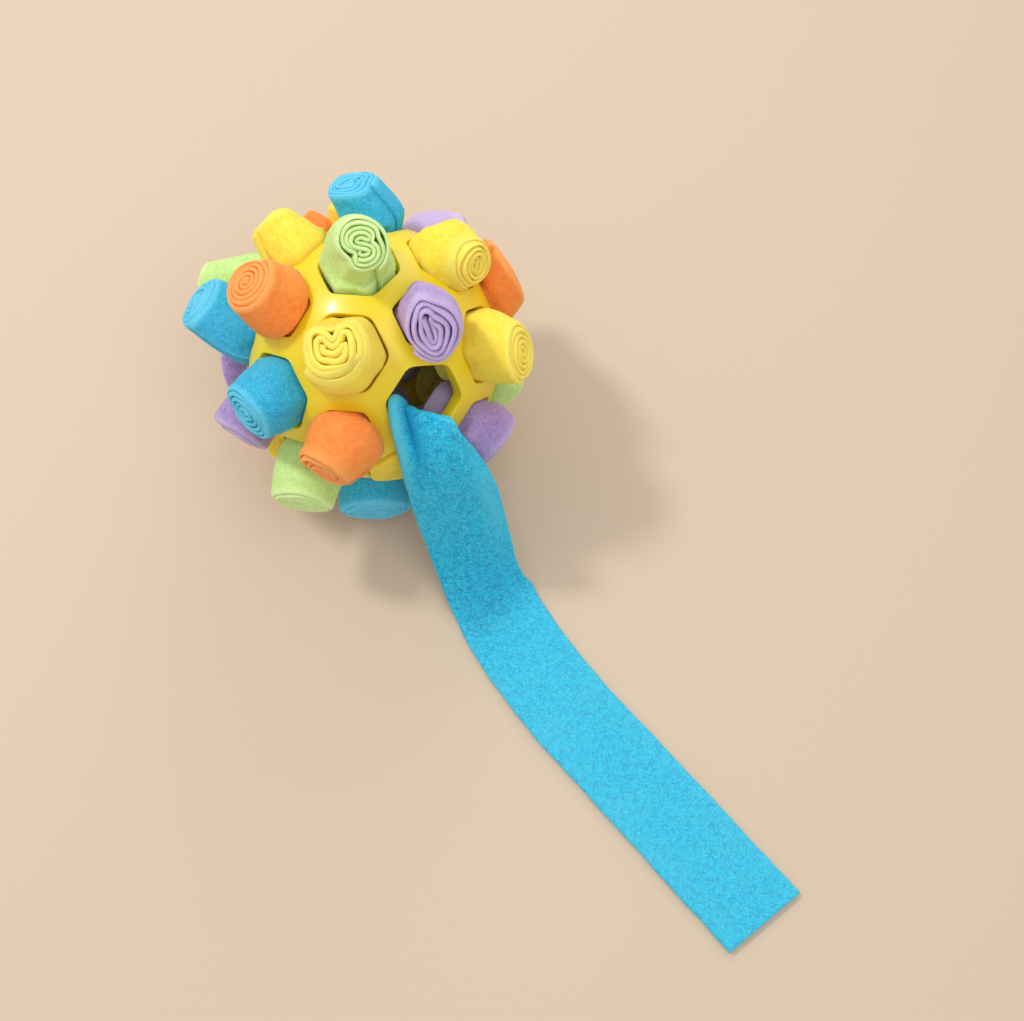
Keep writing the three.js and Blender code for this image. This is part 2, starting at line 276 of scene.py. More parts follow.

# %% [markdown]
# ## The nap of fleece
#
# Fleece has a short curly nap: light tips over darker roots, and soft lumps a
# millimetre or two wide. All six fleeces share one group for it, each with
# its own colours. The group gives a colour, a height for the bump and a
# roughness. Its input "Light" paints light and shade into the colour: where
# it is positive it makes a place paler, a painted highlight, and where it is
# negative darker, a painted shade such as in a fold.

# %% The nap group
NAP, nap, nap_out = new_shader_group(
    "fleece nap",
    {
        "Vector": ("Vector", None),
        "Root": ("Color", (0.3, 0.3, 0.3, 1)),
        "Body": ("Color", (0.5, 0.5, 0.5, 1)),
        "Tip": ("Color", (0.7, 0.7, 0.7, 1)),
        "Curl size": ("Float", 900.0),
        "Mottle": ("Float", 0.6),
        "Light": ("Float", 0.0),
    },
    {"Color": "Color", "Height": "Float", "Roughness": "Float"},
)
curl = noise(NAP, nap["Vector"], nap["Curl size"], 4.0, 0.7)
lump = noise(NAP, nap["Vector"], maths(NAP, "MULTIPLY", nap["Curl size"], 0.33), 2.0)
cloud = noise(NAP, nap["Vector"], 45.0, 2.0)
roots_showing = maths(NAP, "MULTIPLY", remap(NAP, lump, 0.62, 0.34), nap["Mottle"])
tips_showing = maths(NAP, "MULTIPLY", remap(NAP, curl, 0.46, 0.62), nap["Mottle"])
# painted light and shade: a positive Light mixes towards the tip colour, a negative one towards the root
# colour
paler = maths(NAP, "MAXIMUM", nap["Light"], 0.0)
darker = maths(NAP, "MAXIMUM", maths(NAP, "MULTIPLY", nap["Light"], -1.0), 0.0)
tone = mixed(NAP, roots_showing, nap["Body"], nap["Root"])
tone = mixed(NAP, remap(NAP, cloud, 0.35, 0.70, 0.0, 0.12), tone, nap["Tip"])
tone = mixed(NAP, tips_showing, tone, nap["Tip"])
tone = mixed(NAP, paler, tone, nap["Tip"])
tone = mixed(NAP, darker, tone, nap["Root"])
feed(NAP, nap_out["Color"], tone)
feed(NAP, nap_out["Height"], maths(NAP, "MULTIPLY_ADD", curl, 0.5, maths(NAP, "MULTIPLY", lump, 0.8)))
feed(NAP, nap_out["Roughness"], remap(NAP, curl, 0.3, 0.7, 0.88, 0.98))
print("nap group:", len(NAP.nodes), "nodes")

# %% [markdown]
# ## Marks of handling on the rubber
#
# The rubber is smooth and glossy, but it is a dog's toy: it has faint
# handling marks, a little dust and a surface that isn't quite even. This
# group gives those, for the one rubber that the ball has.

# %% The handling group
WEAR, wear, wear_out = new_shader_group(
    "handling marks",
    {
        "Vector": ("Vector", None),
        "Clean": ("Color", (0.8, 0.6, 0.05, 1)),
        "Dusty": ("Color", (0.8, 0.7, 0.3, 1)),
        "Shade": ("Color", (0.6, 0.4, 0.02, 1)),
        "Amount": ("Float", 0.4),
    },
    {"Color": "Color", "Height": "Float", "Roughness": "Float"},
)
broad = noise(WEAR, wear["Vector"], 32.0, 3.0)
fine = noise(WEAR, wear["Vector"], 420.0, 4.0, 0.65)
dust = maths(WEAR, "MULTIPLY", remap(WEAR, fine, 0.58, 0.74), wear["Amount"])
shade = maths(WEAR, "MULTIPLY", remap(WEAR, broad, 0.5, 0.75), wear["Amount"])
tone = mixed(WEAR, shade, wear["Clean"], wear["Shade"])
feed(WEAR, wear_out["Color"], mixed(WEAR, dust, tone, wear["Dusty"]))
feed(WEAR, wear_out["Height"], maths(WEAR, "MULTIPLY_ADD", broad, 0.7, maths(WEAR, "MULTIPLY", fine, 0.12)))
feed(WEAR, wear_out["Roughness"], remap(WEAR, broad, 0.3, 0.7, 0.36, 0.48))
print("handling group:", len(WEAR.nodes), "nodes")

# %% [markdown]
# ## The materials
#
# Each material holds its own Principled shader. What is the same all over,
# such as the sheen of fleece or the clear top of the rubber, is set on the
# shader. What changes over the surface comes from the group.


# %% A material around a group
def linear(colour):
    """A colour as seen on a screen, turned into the light that the shader wants."""
    return tuple(c / 12.92 if c <= 0.04045 else ((c + 0.055) / 1.055) ** 2.4 for c in colour) + (1.0,)


def finish_material(name, group, values, bump, distance, even):
    """A Principled shader fed by a group, with the values that are even all over."""
    material = bpy.data.materials.new(name)
    material.use_nodes = True
    tree = material.node_tree
    shader = tree.nodes["Principled BSDF"]
    where = tree.nodes.new("ShaderNodeTexCoord")
    effect = tree.nodes.new("ShaderNodeGroup")
    effect.node_tree = group
    tree.links.new(where.outputs["Object"], effect.inputs["Vector"])
    for key, value in values.items():
        effect.inputs[key].default_value = value
    relief = tree.nodes.new("ShaderNodeBump")
    relief.inputs["Strength"].default_value = bump
    relief.inputs["Distance"].default_value = distance
    tree.links.new(effect.outputs["Height"], relief.inputs["Height"])
    tree.links.new(effect.outputs["Color"], shader.inputs["Base Color"])
    tree.links.new(effect.outputs["Roughness"], shader.inputs["Roughness"])
    tree.links.new(relief.outputs["Normal"], shader.inputs["Normal"])
    for key, value in even.items():
        shader.inputs[key].default_value = value
    return material, effect


print("one way to build a material ready")

# %% [markdown]
# ## Six fleeces
#
# They differ in the colour of root, body and tip. A soft sheen and a little
# light that goes into the cloth are the same for all. The pulled-out strip
# shows its nap more than the rolls do, because it is brushed flat. What is
# stored on each mesh as "light", the painted light and shade, goes to the
# group's input of that name.

# %% The fleeces
FLEECE_BUMP = (0.46, 0.9 * MM)
SOFT_CLOTH = {
    "Sheen Weight": 0.5,
    "Sheen Roughness": 0.55,
    "Specular IOR Level": 0.2,
    "Subsurface Weight": 0.35,
    "Subsurface Radius": (0.005, 0.004, 0.003),
    "Subsurface Scale": 1.0,
}
FLEECE_COLOURS = {
    # slot: (name, root, body, tip)
    "yellow": ("yellow fleece", (1.00, 0.75, 0.08), (1.00, 0.87, 0.28), (1.00, 0.94, 0.48)),
    "orange": ("orange fleece", (0.95, 0.40, 0.14), (1.00, 0.56, 0.26), (1.00, 0.70, 0.42)),
    "blue": ("blue fleece", (0.03, 0.50, 0.74), (0.17, 0.68, 0.86), (0.46, 0.84, 0.95)),
    "green": ("green fleece", (0.58, 0.78, 0.36), (0.76, 0.91, 0.55), (0.87, 0.97, 0.70)),
    "purple": ("purple fleece", (0.43, 0.34, 0.60), (0.64, 0.54, 0.78), (0.82, 0.75, 0.90)),
    "strip": ("pulled-out blue fleece", (0.0, 0.56, 0.78), (0.03, 0.72, 0.88), (0.38, 0.80, 0.90)),
}
MOTTLE = {"strip": 0.8}
CURL_SIZE = {"strip": 1050.0}


def fleece_material(slot):
    name, root, body, tip = FLEECE_COLOURS[slot]
    values = {
        "Root": linear(root),
        "Body": linear(body),
        "Tip": linear(tip),
        "Curl size": CURL_SIZE.get(slot, 1150.0),
        "Mottle": MOTTLE.get(slot, 0.36),
    }
    even = dict(SOFT_CLOTH, **{"Sheen Tint": linear(tip)})
    material, effect = finish_material(name, NAP, values, *FLEECE_BUMP, even)
    stored = material.node_tree.nodes.new("ShaderNodeAttribute")
    stored.attribute_name = "light"
    material.node_tree.links.new(stored.outputs["Fac"], effect.inputs["Light"])
    return material


FLEECE = {slot: fleece_material(slot) for slot in FLEECE_COLOURS}
print(len(FLEECE), "fleeces")

# %% [markdown]
# ## One rubber
#
# Light goes a little way into soft yellow rubber, so its shaded sides stay
# warm. A thin clear top gives the small bright window on it.

# %% The rubber
RUBBER, _ = finish_material(
    "yellow rubber",
    WEAR,
    {
        "Clean": linear((0.94, 0.83, 0.12)),
        "Dusty": linear((0.97, 0.88, 0.42)),
        "Shade": linear((0.92, 0.79, 0.09)),
        "Amount": 0.35,
    },
    0.08,
    1.0 * MM,
    {
        "Coat Weight": 0.22,
        "Coat Roughness": 0.12,
        "Subsurface Weight": 0.3,
        "Subsurface Radius": (0.01, 0.006, 0.001),
        "Subsurface Scale": 1.0,
    },
)
print("made", RUBBER.name)

# %% [markdown]
# ## The rubber ball
#
# The real ball is moulded in one piece: flat-topped ribs with softly rounded
# edges around 32 holes. The rule is simple, so Geometry Nodes make it from a
# plain football of 60 corners. Every face is drawn in twice, once for a
# support line and once for the edge of the hole. The hole is cut away, the
# sheet of ribs is blown up onto a ball and given its wall, and subdivision
# rounds every edge.

# %% The football
ball_points = []
ball_index = {}
ball_faces = []
for hole in HOLES:
    face = []
    for corner in hole_frame(hole)[3]:
        key = tuple(np.round(corner, 5))
        if key not in ball_index:
            ball_index[key] = len(ball_points)
            ball_points.append(corner * BALL_RADIUS)
        face.append(ball_index[key])
    ball_faces.append(face)
football = new_mesh("rubber_ball", ball_points, ball_faces)
print(len(ball_points), "corners,", len(ball_faces), "faces")

# %% The recipe for the ribs
ribs = Recipe(
    "ribs of the ball",
    {
        "Ball Radius": ("Float", BALL_RADIUS),
        "Wall": ("Float", WALL),
        "Rib Width": ("Float", RIB_WIDTH),
        "Edge Rounding": ("Float", RIB_ROUNDING),
        "Rubber": ("Material", None),
    },
)
given = ribs.start.outputs


def field(operation, first, second=None):
    values = {0: first} if second is None else {0: first, 1: second}
    return ribs.add("ShaderNodeMath", values, operation=operation).outputs[0]


def draw_in(geometry, selection, width):
    """Draws each selected face in by a width, and returns the mesh and the new faces."""
    grown = ribs.add("GeometryNodeExtrudeMesh", {"Mesh": geometry, "Offset Scale": 0.0}, mode="FACES")
    if selection is not None:
        ribs.tree.links.new(selection, grown.inputs["Selection"])
    area = ribs.add("GeometryNodeInputMeshFaceArea").outputs[0]
    sides = ribs.add("GeometryNodeInputMeshFaceNeighbors").outputs["Vertex Count"]
    angle = field("DIVIDE", math.pi, sides)
    # apothem of a regular face from its area: sqrt(area / (n tan(pi / n)))
    tangent = field("TANGENT", angle)
    apothem = field("SQRT", field("DIVIDE", area, field("MULTIPLY", sides, tangent)))
    share = field("SUBTRACT", 1.0, field("DIVIDE", width, apothem))
    top = grown.outputs["Top"]
    scaled = ribs.add(
        "GeometryNodeScaleElements",
        {"Geometry": grown.outputs["Mesh"], "Selection": top, "Scale": share},
        domain="FACE",
    )
    return scaled.outputs[0], top


print("a face can be drawn in by a width")

# %% [markdown]
# The recipe draws every face in, deletes what is left of it, and moves the
# sheet of ribs onto the inner ball. "Outward" is the way from the middle of
# the ball, so moving along it keeps the ribs as wide as they were drawn.

# %% From faces to a sheet of ribs
half = field("MULTIPLY", given["Rib Width"], 0.5)
near_edge = field("SUBTRACT", half, given["Edge Rounding"])
first_mesh, first_top = draw_in(given["Geometry"], None, near_edge)
second_mesh, second_top = draw_in(first_mesh, first_top, given["Edge Rounding"])
cut = ribs.add(
    "GeometryNodeDeleteGeometry",
    {"Geometry": second_mesh, "Selection": second_top},
    domain="FACE",
)
split = ribs.add("GeometryNodeSubdivideMesh", {"Mesh": cut.outputs[0], "Level": 2})
position = ribs.add("GeometryNodeInputPosition").outputs[0]
outward = ribs.add("ShaderNodeVectorMath", {0: position}, operation="NORMALIZE").outputs[0]


def at_radius(geometry, radius):
    spot = ribs.add("ShaderNodeVectorMath", {0: outward, "Scale": radius}, operation="SCALE").outputs[0]
    return ribs.add("GeometryNodeSetPosition", {"Geometry": geometry, "Position": spot}).outputs[0]


inner_radius = field("SUBTRACT", given["Ball Radius"], given["Wall"])
inner = at_radius(split.outputs[0], inner_radius)
turned = ribs.add("GeometryNodeFlipFaces", {"Mesh": inner}).outputs[0]
print("ribs so far:", len(ribs.tree.nodes), "nodes")

# %% [markdown]
# The wall is raised in three steps, a short one at each side of the long one.
# Subdivision then rounds only the edges, because the short steps hold it
# there. The inner side is the same sheet with its faces turned round.


# %% The wall, and the finished ball
def thicken(geometry, selection, height):
    """Raises the sheet outwards by a height, with a wall around every hole."""
    step = ribs.add("ShaderNodeVectorMath", {0: outward, "Scale": height}, operation="SCALE").outputs[0]
    node = ribs.add(
        "GeometryNodeExtrudeMesh",
        {"Mesh": geometry, "Offset": step, "Individual": False},
        mode="FACES",
    )
    if selection is not None:
        ribs.tree.links.new(selection, node.inputs["Selection"])
    return node.outputs["Mesh"], node.outputs["Top"]


middle_height = field("SUBTRACT", given["Wall"], field("MULTIPLY", given["Edge Rounding"], 2.0))
raised, top_faces = thicken(inner, None, given["Edge Rounding"])
raised, top_faces = thicken(raised, top_faces, middle_height)
raised, top_faces = thicken(raised, top_faces, given["Edge Rounding"])
both = ribs.add("GeometryNodeJoinGeometry")
for part in (raised, turned):
    ribs.tree.links.new(part, both.inputs[0])
whole = ribs.add("GeometryNodeMergeByDistance", {"Geometry": both.outputs[0], "Distance": 1e-5})
soft = ribs.add("GeometryNodeSubdivisionSurface", {"Mesh": whole.outputs[0], "Level": 1})
real = ribs.add("GeometryNodeRealizeInstances", {"Geometry": soft.outputs[0]})
dressed = ribs.add("GeometryNodeSetMaterial", {"Geometry": real.outputs[0], "Material": given["Rubber"]})
ribs.finish(dressed.outputs[0])
ribs.put_on(football, Rubber=RUBBER)
rubber_ball = smooth(made_plain(football))
print("ribs:", len(rubber_ball.data.polygons), "faces")

# %% Put the ball in its place
spots = np.array([v.co for v in rubber_ball.data.vertices]) + BALL_CENTRE
rubber_ball.data.vertices.foreach_set("co", spots.ravel())
rubber_ball.data.update()
place(rubber_ball, "lattice_ball", slot="rubber_yellow")
print("ball from", spots.min(axis=0).round(4), "to", spots.max(axis=0).round(4))

# %% [markdown]
# ## How a strip is wound
#
# Every roll is one strip of fleece, 300 by 40 mm, wound up on itself. From
# the end it shows its turns as a line that runs from a small core outwards.
# The cores differ: most are plain spirals, some were folded in half first and
# come out oval, one was folded into an S and one into a heart. A short table
# gives the cores, in millimetres, and a rule winds the rest around them.

# %% Cores
S_FOLD = [
    (4.0, 3.2), (1.4, 5.2), (-2.2, 5.2), (-3.8, 3.0), (-2.0, 1.0), (1.8, -0.8), (3.8, -2.8), (2.8, -5.0),
    (-0.6, -5.6), (-3.8, -4.2),
]
HEART = [
    (-2.9, 1.5), (-2.9, -0.9), (-1.0, -1.2), (0.7, -1.7), (2.9, -0.6), (4.9, 2.0), (5.1, -1.4), (3.2, -3.8),
    (0.8, -4.2), (-1.6, -3.7), (-4.2, -3.2), (-5.4, 0.8), (-5.0, 3.8), (-2.8, 3.8), (0.5, 0.8), (2.8, 3.0),
    (4.0, 6.0), (6.2, 6.2), (7.4, 1.8), (7.4, -3.2), (5.6, -5.6), (1.8, -6.6), (-3.4, -6.6), (-6.8, -3.6),
    (-8.2, 1.2), (-8.0, 5.6), (-5.2, 6.9), (-1.8, 5.2), (0.7, 3.2), (2.2, 6.6), (4.4, 9.2), (7.4, 8.6),
    (9.9, 3.4), (10.2, -2.6),
]
PLAIN = [(0.1, -1.0), (-0.9, -0.6), (-1.2, 0.4), (-0.5, 1.3), (0.8, 1.4), (1.8, 0.5)]
HALVED = [(5.0, 0.1), (1.5, 0.3), (-2.0, 0.2), (-5.2, 0.0)]
CRUMPLED = [
    (-3.6, 1.8), (-2.2, 0.2), (-0.6, 1.8), (0.9, 0.0), (2.4, 1.4), (3.8, 0.2), (3.0, -2.2), (0.2, -2.6),
    (-2.4, -2.4),
]
CORES = {
    # name: (points, whether the strip lies there folded in two, how round the outer turns get)
    "s_fold": (S_FOLD, True, 0.35),
    "heart": (HEART, False, 0.9),
    "plain": (PLAIN, False, 0.9),
    "doubled": (HALVED, True, 0.4),
    "crumpled": (CRUMPLED, False, 0.9),
}
print("cores:", ", ".join(CORES))


# %% Smooth lines and folded ones
def through(points, step):
    """A smooth line through points, with points about a step apart."""
    points = np.array(points, float)
    before = np.vstack([2 * points[0] - points[1], points[:-1]])
    after = np.vstack([points[1:], 2 * points[-1] - points[-2]])
    line = []
    for k in range(len(points) - 1):
        p0, p1, p2, p3 = before[k], points[k], points[k + 1], after[k + 1]
        count = max(2, int(np.linalg.norm(p2 - p1) / step))
        for t in np.arange(count) / count:
            line.append(0.5 * (2 * p1 + (p2 - p0) * t + (2 * p0 - 5 * p1 + 4 * p2 - p3) * t**2
                               + (3 * p1 - p0 - 3 * p2 + p3) * t**3))
    line.append(points[-1])
    return np.array(line)


def folded_in_two(line, pitch):
    """The line of a doubled strip: out along one side, round the fold and back."""
    ahead = np.gradient(line, axis=0)
    ahead /= np.linalg.norm(ahead, axis=1)[:, None]
    side = np.stack([-ahead[:, 1], ahead[:, 0]], axis=1) * pitch / 2
    turn = [line[0] - ahead[0] * pitch / 2 * math.sin(a) + side[0] * math.cos(a) for a in (0.8, 1.57, 2.34)]
    return np.vstack([(line + side)[::-1], turn, line - side])


print("the heart's line is drawn with", len(through(HEART, 0.8)), "points")

# %% [markdown]
# The turns outside a core first follow its outline and get rounder with each
# turn. So the rule needs to know how far the core reaches in each direction.


# %% The outline of a core
def core_edge(line):
    """How far the core reaches in each of 72 directions, softened a little."""
    fine = through(line, 0.3)
    bins = np.round(np.degrees(np.arctan2(fine[:, 1], fine[:, 0])) / 5).astype(int) % 72
    edge = np.zeros(72)
    np.maximum.at(edge, bins, np.hypot(fine[:, 0], fine[:, 1]))
    known = np.flatnonzero(edge)
    edge = np.interp(np.arange(72), np.concatenate([known - 72, known, known + 72]), np.tile(edge[known], 3))
    for _ in range(3):
        edge = (np.roll(edge, 1) + 2 * edge + np.roll(edge, -1)) / 4
    return edge


print("a plain core reaches", round(float(core_edge(through(PLAIN, 0.8)).max()), 1), "mm")

# %% [markdown]
# From the core's end the line goes round and round, one pitch further out
# with each turn, until the roll has its radius and the strip's end lies on
# the side where the photo shows it. The turn where the line leaves the core
# grows over a short part of it, so that it doesn't cross the core.

# %% Winding a line around a core
FIRST_STEP = 1.8  # radians over which the line moves out by one pitch


def wound_line(core, hand, turned, pitch, radius, seed, lap):
    """The middle line of a wound strip, seen from its end, in millimetres."""
    points, in_two, roundest = CORES[core]
    line = through(points, 0.8)
    if in_two:
        line = folded_in_two(line, pitch)
    line = line - (line.min(axis=0) + line.max(axis=0)) / 2
    edge = core_edge(line)
    mean = edge.mean()
    half_width, half_height = np.abs(line).max(axis=0) + pitch / 4
    start = math.atan2(line[-1][1], line[-1][0])
    wobble = np.random.default_rng(seed).uniform(0, 6.28, 4)
    outer = []
    angle, grown = 0.0, 0.0
    towards = math.radians(hand * (turned - lap))
    past = lambda at: math.remainder(start - at - towards, 2 * math.pi)
    while mean + grown < radius - pitch or not 0 <= past(angle) < 0.3:
        angle += 1.0 / max(mean + grown, 3)
        turns, part = divmod(angle, 2 * math.pi)
        step = min(1.0, part / FIRST_STEP)
        grown = pitch * (turns + step * step * (3 - 2 * step))
        rounder = min(1.0, grown / (radius - mean)) * roundest
        here = start - angle
        reach = np.interp(math.degrees(here) / 5 % 72, np.arange(73), np.append(edge, edge[0]))
        oval = 1 / math.hypot(math.cos(here) / half_width, math.sin(here) / half_height)
        smoother = min(1.0, max(0.0, grown / pitch - 1.2) / 1.8)
        reach = reach * (1 - smoother) + oval * smoother
        lump = 1 + 0.010 * math.sin(3 * here + wobble[0])
        lump += 0.008 * math.sin(5 * here + wobble[1] + 0.3 * angle)
        reach = (reach * (1 - rounder) + mean * rounder + grown) * lump
        outer.append((reach * math.cos(here), reach * math.sin(here)))
    line = np.vstack([line[:-1], np.array(outer)])
    if hand > 0:
        line[:, 1] *= -1
    c, s = math.cos(math.radians(turned)), math.sin(math.radians(turned))
    return line @ np.array([[c, s], [-s, c]])


example = wound_line("plain", 1, 0, 2.5, 15, 1, 0)
steps = np.linalg.norm(np.diff(example, axis=0), axis=1)
print("a plain roll takes", round(float(steps.sum())), "mm of strip")

# %% [markdown]
# ## The recipe for a wound strip
#
# Geometry Nodes turn that line into cloth. The line becomes a curve, and the
# strip's own section, tall and thin with round edges, is swept along it. The
# way along the strip is kept as an attribute, because the next step uses it
# to nudge each turn a little, as a hand does.

# %% The strip's section
SECTION_STEP = 1.9  # millimetres between points on the flat sides
TOP_BEND, BOTTOM_BEND = (36, 72, 108, 144), (216, 252, 288, 324)  # degrees round the two cut edges


def strip_section(height):
    """Half thickness and height of the section's points, in millimetres, all round."""
    half = FLEECE_THICKNESS / MM / 2
    levels = np.linspace(half, height - half, int(height / SECTION_STEP))
    top = [(half * math.cos(a), height - half + half * math.sin(a)) for a in np.radians(TOP_BEND)]
    bottom = [(half * math.cos(a), half + half * math.sin(a)) for a in np.radians(BOTTOM_BEND)]
    return [(half, z) for z in levels] + top + [(-half, z) for z in levels[::-1]] + bottom


def section_object(height):
    points = strip_section(height)
    count = len(points)
    return new_mesh("strip section", [(x * MM, -z * MM, 0) for x, z in points],
                    edges=[((k + 1) % count, k) for k in range(count)])


print("the section has", len(strip_section(STRIP_WIDTH / MM)), "points")

# %% The winding recipe
winding = Recipe(
    "wound strip",
    {
        "Section": ("Object", None),
        "Step": ("Float", 1.35 * MM),
        "Fleece": ("Material", None),
    },
)
given = winding.start.outputs
line = winding.add("GeometryNodeMeshToCurve", {"Mesh": given["Geometry"]}).outputs[0]
even = winding.add(
    "GeometryNodeResampleCurve", {"Curve": line, "Length": given["Step"]}, mode="LENGTH"
).outputs[0]
upright = winding.add("GeometryNodeSetCurveNormal", {"Curve": even}, mode="Z_UP").outputs[0]
share = winding.add("GeometryNodeSplineParameter").outputs["Factor"]
marked = winding.add(
    "GeometryNodeStoreNamedAttribute",
    {"Geometry": upright, "Name": "way_along", "Value": share},
    data_type="FLOAT",
    domain="POINT",
).outputs[0]
section = winding.add("GeometryNodeObjectInfo", {"Object": given["Section"]}).outputs["Geometry"]
outline = winding.add("GeometryNodeMeshToCurve", {"Mesh": section}).outputs[0]
cloth = winding.add(
    "GeometryNodeCurveToMesh", {"Curve": marked, "Profile Curve": outline, "Fill Caps": True}
).outputs[0]
real = winding.add("GeometryNodeRealizeInstances", {"Geometry": cloth}).outputs[0]
dressed = winding.add("GeometryNodeSetMaterial", {"Geometry": real, "Material": given["Fleece"]}).outputs[0]
winding.finish(dressed)
print("winding recipe:", len(winding.tree.nodes), "nodes")

# %% [markdown]
# ## Pressing a roll into its hole
#
# A free roll is about 30 mm across, and the holes are narrower, so the rubber
# squeezes each roll into a neck and it swells again outside. Rolls also lean,
# and some have their inner turns pushed out. The wound mesh is shaped point
# by point: its height along the roll and its share of the radius stay, and
# this step says how wide the roll is there and which way it points.

# %% Sizes of the holes
# millimetres: the hole's own half width, how wide the inner end is, and how wide a free roll is
SIX_SIDED = {"corners": 6, "neck": 15.3, "inner_end": 13.2, "free": 15.0}
FIVE_SIDED = {"corners": 5, "neck": 10.9, "inner_end": 10.2, "free": 13.8}
NECK_FROM, NECK_TO = -6.0, 0.9  # where the hole holds the roll, from the outside of the ball
SHORT, FLUSH = 8, 2  # a roll that stands out less than this hardly swells, or hardly shows
HALF_A_HOLE = 0.48  # the share that each of two rolls has in one hole
print("necks", SIX_SIDED["neck"], "and", FIVE_SIDED["neck"], "mm")

# %% [markdown]
# Three small rules come first: a soft curve through a few sizes, how far the
# edge of a hole is in a direction, and the roll's own outline, which the neck
# presses out of shape and the free part keeps.


# %% Outlines
def eased(value, stops, heights):
    """A soft curve through heights at stops."""
    value = np.clip(value, stops[0], stops[-1])
    k = np.clip(np.searchsorted(stops, value, side="right") - 1, 0, len(stops) - 2)
    stops, heights = np.array(stops), np.array(heights)
    t = (value - stops[k]) / (stops[k + 1] - stops[k])
    t = t * t * (3 - 2 * t)
    return heights[k] * (1 - t) + heights[k + 1] * t


def hole_shape(angle, first_corner, corners):
    """How far the hole's edge is in a direction, against the middle of its sides."""
    side = 2 * math.pi / corners
    to_flat = np.mod(angle - first_corner, side) - side / 2
    return np.minimum(1 / np.cos(to_flat), 1.09)


def outer_edge(x, y, angle):
    """The roll's own outline: its softened outer radius in each point's direction."""
    bins = np.round(np.degrees(angle) / 8).astype(int) % 45
    edge = np.zeros(45)
    np.maximum.at(edge, bins, np.hypot(x, y))
    for _ in range(2):
        edge = (np.roll(edge, 1) + 2 * edge + np.roll(edge, -1)) / 4
    return np.interp(np.degrees(angle) % 360, np.arange(46) * 8, np.append(edge, edge[0]))


print("a six-sided hole reaches", round(float(hole_shape(0.0, 0.0, 6)), 2), "times its half width at a corner")

# %% [markdown]
# The squeeze: at each height the roll has a radius, and a share of the hole's
# shape that it takes on. Heights count from the outside of the ball.


# %% Squeezing
def squeezed(z, share, natural, angle, row, size, inside, first_corner):
    """How far each point is from the roll's middle once the hole holds it."""
    part = HALF_A_HOLE if row["aside"] else 1.0
    end = 1.07 * size["free"] * row["end"]
    free = end if row["aside"] else 1.06 * size["free"] * row["girth"]
    stops = [-inside, NECK_FROM, NECK_TO]
    radii = [size["inner_end"] * part, size["neck"] * 0.9 * part, size["neck"] * 0.95 * part]
    held = [0.3, 1.0, 1.0]
    if row["out"] > SHORT:
        stops += [row["spread"], row["out"]]
        radii += [free, end]
        held += [0.35, 0.0]
    else:
        stops += [max(row["out"], 1.2)]
        radii += [end]
        held += [0.6]
    grip = eased(z, stops, held)
    if row["aside"]:
        grip = grip * 0.15
    outline = natural * (1 - grip) + hole_shape(angle, first_corner, size["corners"]) * grip
    ripple = 1 + 0.02 * grip * np.sin(7 * angle + row["seed"]) + 0.015 * np.sin(2 * angle + row["seed"] * 2.1)
    return share * eased(z, stops, radii) * outline * ripple


print("squeezing ready")

# %% [markdown]
# The end of a roll is never flat: its edge is domed, the outermost turn is
# drawn down, and no two turns are quite level. A hand leaves it so when it
# pushes the roll in.


# %% The end of a roll
def end_shaped(z, share, way, row, inside):
    """The heights of a roll's points with its end domed and its turns uneven."""
    near_end = np.clip((z + inside) / (inside + row["out"]), 0, 1) ** 6
    rim = np.clip((share - 0.84) / 0.16, 0, 1) ** 2
    uneven = np.sin(way * 31 + row["seed"]) * 0.30 + np.sin(way * 74 + row["seed"] * 3) * 0.12
    if row["out"] < FLUSH:
        uneven, rim = 0.1 * uneven, 0.2 * rim
    dome = row["dome"] * np.clip((share - 0.5) / 0.5, 0, 1) ** 1.6
    pushed_out = row["proud"] * np.clip(1.15 - share, 0, 1)
    return z + near_end * (uneven - 0.9 * rim - dome) + pushed_out


print("ends ready")

# %% [markdown]
# The lean: a roll is straight in its hole and bends over to one side outside.
# Its middle line is moved aside by a power of the height, and each slice is
# turned to stand across that line. How far the end follows the lean is a
# number of its own for east and for north.


# %% Leaning
def leant(z, reach, angle, row, size, out, east, north):
    """Where the points of a squeezed roll are, once it leans."""
    bend_share = np.clip(z / row["out"], 0, 1.3)
    bend = bend_share ** row["late"]
    steep = 1.3 * np.minimum(bend_share, 1) ** (row["late"] - 1) / row["out"]
    slope = np.where(bend_share > 0, steep, 0)
    aside = row["aside"] * size["neck"] * 0.5
    middle = (
        out * (BALL_RADIUS / MM + z)[:, None]
        + east * (aside + row["east"] * bend)[:, None]
        + north * (row["north"] * bend)[:, None]
    )
    tilt_east, tilt_north = row["tilt"]
    lean = out + east * (row["east"] * tilt_east * slope)[:, None]
    lean = lean + north * (row["north"] * tilt_north * slope)[:, None]
    lean /= np.linalg.norm(lean, axis=1)[:, None]
    spoke = east * (reach * np.cos(angle))[:, None] + north * (reach * np.sin(angle))[:, None]
    axis = np.cross(out, lean)
    cosine = lean @ out
    turned = (
        spoke * cosine[:, None]
        + np.cross(axis, spoke)
        + axis * ((axis * spoke).sum(axis=1) / (1 + cosine))[:, None]
    )
    return middle + turned


def press_into_hole(points, way, row, size, inside):
    """Shapes a free roll, its height from 0 at its inner end, to its hole."""
    out, east, north, outline = hole_frame(row["hole"])
    first_corner = math.atan2(outline[0] @ north, outline[0] @ east)
    x, y, z = points.T
    z = z - inside
    angle = np.arctan2(y, x)
    own = outer_edge(x, y, angle)
    share = np.hypot(x, y) / own
    reach = squeezed(z, share, own / own.mean(), angle, row, size, inside, first_corner)
    z = end_shaped(z, share, way, row, inside)
    placed = leant(z, reach, angle, row, size, out, east, north) * MM + BALL_CENTRE
    placed[:, 2] = np.maximum(placed[:, 2], 0.0)
    return placed


print("shaping ready")

